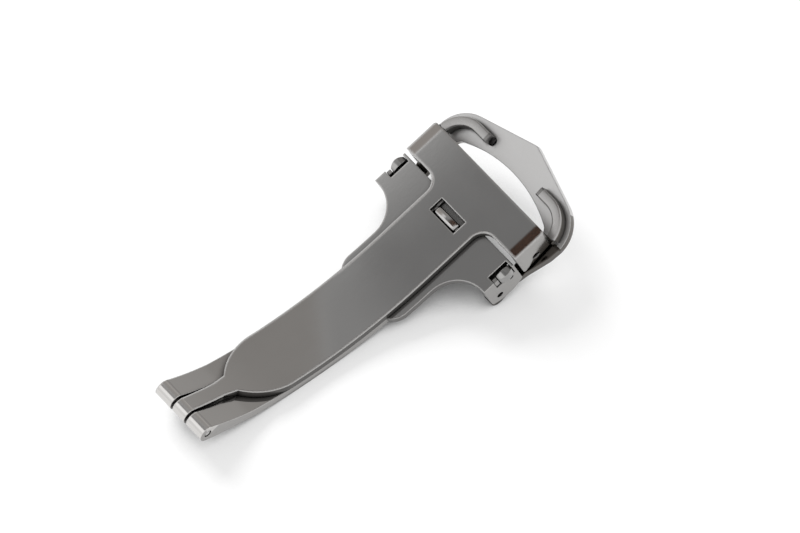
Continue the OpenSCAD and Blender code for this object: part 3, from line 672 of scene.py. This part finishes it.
# The solids that stay as they are get only a finish; for the pushers and the latch housing it is a darker
# copy, painted shade
plainSolids = {"pusher_left": "pushShadeSteel", "pusher_right": "pushShadeSteel", "latch_slide_left": "sideSteel",
               "latch_slide_right": "sideSteel", "latch_housing": "recessShadeSteel",
               "strap_bar_tube": "satinSteel"}
for node, finish in plainSolids.items():
    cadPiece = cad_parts[node]
    cadPiece.data.materials.clear()
    cadPiece.data.materials.append(metal[finish])
print("post and small solids dressed")

# Floor, world and key lamp, with sizes in metres; the floor's glow carries a painted shadow under the clasp
studio = {"floorHalf": 3, "floorTone": 0.8, "floorSeen": 0.97, "glow": 0.45, "glowPower": 1.06,
          "glowReach": 0.022, "glowFrom": (0.2, 0.55), "glowSamples": 8, "worldTone": 0.78, "worldPower": 0.9,
          "keyPower": 2.8, "keyAt": (0.04, 0.46, 0.36), "keySize": (0.3, 0.3)}


def seenRays(t):  # 1 for camera, glossy and transmission rays, which see a white background
    rays = t.node("ShaderNodeLightPath").socket.node.outputs
    cameraOrGlossy = Value(t, rays["Is Camera Ray"]).maths("MAXIMUM", Value(t, rays["Is Glossy Ray"]))
    return cameraOrGlossy.maths("MAXIMUM", Value(t, rays["Is Transmission Ray"]))


half = studio["floorHalf"]
floorMesh = bpy.data.meshes.new("floor")
floorCorners = [(-half, -half, 0), (half, -half, 0), (half, half, 0), (-half, half, 0)]
floorMesh.from_pydata(floorCorners, [], [(0, 1, 2, 3)])
floor = linked("floor", floorMesh)
floorMaterial, t = emptyMaterial("paleFloor")
seen = seenRays(t)
matte = t.node("ShaderNodeBsdfDiffuse", {
    "Color": t.shade(seen, grey(studio["floorTone"]), grey(studio["floorSeen"]))})
openSky = t.node("ShaderNodeAmbientOcclusion", {"Distance": studio["glowReach"]},
                 {"samples": studio["glowSamples"]}, out=1)
outsidePaintedShadow = openSky.between(*studio["glowFrom"])  # painted shadow: the floor's glow is dark only right under the clasp
white = t.node("ShaderNodeEmission", {
    "Color": t.shade(outsidePaintedShadow, grey(0.0), grey(1.0)), "Strength": studio["glowPower"]})
floorMix = t.node("ShaderNodeMixShader", {0: seen * studio["glow"], 1: matte, 2: white})
t.node("ShaderNodeOutputMaterial", {"Surface": floorMix})
floorMesh.materials.append(floorMaterial)

world = bpy.data.worlds.new("studio")
bpy.context.scene.world = world
world.use_nodes = True
world.node_tree.nodes.clear()
t = Tree(world.node_tree)
around = t.node("ShaderNodeBackground", {
    "Color": grey(studio["worldTone"]), "Strength": studio["worldPower"]})
behind = t.node("ShaderNodeBackground", {"Color": (1, 1, 1, 1), "Strength": 1.0})
worldMix = t.node("ShaderNodeMixShader", {0: seenRays(t), 1: around, 2: behind})
t.node("ShaderNodeOutputWorld", {"Surface": worldMix})

# A dark canopy behind and over the clasp, which only the steel sees. Its tone changes with the direction:
# aside says how far that leans to the frame's end, and back how far it leans to the clasp's left side
canopy = {"radius": 0.45, "around": (-62, 88), "along": (2, 52), "columns": 34, "rows": 14}
canopyTones = {"black": 0.03, "dark": 0.3, "middle": 0.42, "high": 1.0, "light": 1.25, "band": 0.5,
               "warm": (0.41, 0.395, 0.38, 1), "end": (0.54, 0.525, 0.51, 1), "brown": (0.5, 0.465, 0.44, 1),
               "streak": (0.24, 0.13, 0.085, 1), "streakScale": 1500.0, "streakFrom": (0.5, 0.6)}
# Where each tone begins and is full. The flat T mirrors the canopy where back is the value across.
borders = {"middle": (-0.26, 0.12), "high": (0.402, 0.445), "aboveBlack": (0.2, 0.34), "brown": (0.5, 0.6),
           "curved": (-0.04, 0.05), "band": (0.11, 0.17), "warm": (0.18, 0.21), "end": (0.45, 0.95),
           "belowLight": (-0.5, -0.4), "across": 0.405, "slant": 14}
points = []
for i in range(canopy["columns"] + 1):
    start, end = canopy["around"]
    turn = math.radians(start + (end - start) * i / canopy["columns"])
    for j in range(canopy["rows"] + 1):
        start, end = canopy["along"]
        rise = math.radians(start + (end - start) * j / canopy["rows"])
        way = Vector((math.cos(rise) * math.sin(turn), math.sin(rise), math.cos(rise) * math.cos(turn)))
        points.append(way * canopy["radius"])
perColumn = canopy["rows"] + 1
firsts = [i * perColumn + j for i in range(canopy["columns"]) for j in range(canopy["rows"])]
cells = [(first, first + 1, first + perColumn + 1, first + perColumn) for first in firsts]
canopyMesh = bpy.data.meshes.new("dark_canopy")
canopyMesh.from_pydata(points, [], cells)
darkCanopy = linked("dark_canopy", canopyMesh)
canopyMaterial, t = emptyMaterial("darkCanopy")
direction = t.node("ShaderNodeVectorMath", {0: t.objectPoint()}, {"operation": "NORMALIZE"})
parts = t.node("ShaderNodeSeparateXYZ", {"Vector": direction}).socket.node.outputs
aside = Value(t, parts["X"])
back = Value(t, parts["Y"])
noise = t.node("ShaderNodeTexNoise", {
    "Vector": t.objectPoint(), "Scale": canopyTones["streakScale"], "Detail": 1.0})
streak = noise.between(*canopyTones["streakFrom"])
streaky = t.shade(streak, grey(canopyTones["black"]), canopyTones["streak"])
tone = t.shade(aside.between(*borders["middle"]), grey(canopyTones["dark"]), grey(canopyTones["middle"]))
tone = t.shade(back.between(*borders["high"]), tone, grey(canopyTones["high"]))
tone = t.shade(back.between(*borders["aboveBlack"]), streaky, tone)
tone = t.shade(back.between(*borders["brown"]), tone, canopyTones["brown"])
slanted = (back - borders["across"]) * borders["slant"] + aside  # the curved part's tones meet at a slant
curved = aside.between(*borders["curved"])
warm = t.shade(aside.between(*borders["end"]), canopyTones["warm"], canopyTones["end"])
tone = t.shade(slanted.between(*borders["band"]) * curved, tone, grey(canopyTones["band"]))
tone = t.shade(slanted.between(*borders["warm"]) * curved, tone, warm)
tone = t.shade(aside.between(*borders["belowLight"]), grey(canopyTones["light"]), tone)
shine = t.node("ShaderNodeEmission", {"Color": tone, "Strength": 1.0})
t.node("ShaderNodeOutputMaterial", {"Surface": shine})
canopyMesh.materials.append(canopyMaterial)
darkCanopy.visible_camera = False
darkCanopy.visible_diffuse = False
darkCanopy.visible_shadow = False

keyLamp = bpy.data.lights.new("key_lamp", "AREA")
keyLamp.shape = "RECTANGLE"
keyLamp.size, keyLamp.size_y = studio["keySize"]
keyLamp.energy = studio["keyPower"]
keyHolder = linked("key_lamp", keyLamp)
keyHolder.location = studio["keyAt"]
keyHolder.rotation_euler = (-Vector(studio["keyAt"])).to_track_quat("-Z", "Y").to_euler()
keyHolder.visible_glossy = False

# The camera, fitted to the photo: far away, with the scale in pixels per mm at the photo's width in pixels
view = {"right": (0.7713, -0.636, 0.0218), "up": (0.527, 0.657, 0.5382), "centre": (5.358, -0.226, 3.367),
        "distance": 2000, "scale": 9.466, "sensor": 36, "pixels": 800}
rightward = Vector(view["right"]).normalized()
away = Vector(view["right"]).cross(Vector(view["up"])).normalized()
upward = away.cross(rightward)
cameraData = bpy.data.cameras.new("photo_camera")
cameraData.sensor_width = view["sensor"]
cameraData.lens = view["scale"] * view["distance"] * view["sensor"] / view["pixels"]
camera = linked("photo_camera", cameraData)
basis = Matrix((rightward, upward, away)).transposed().to_4x4()
camera.matrix_world = Matrix.Translation((Vector(view["centre"]) + away * view["distance"]) * mm) @ basis
bpy.context.scene.camera = camera
bpy.context.scene.view_settings.view_transform = "Standard"
print("stage set")
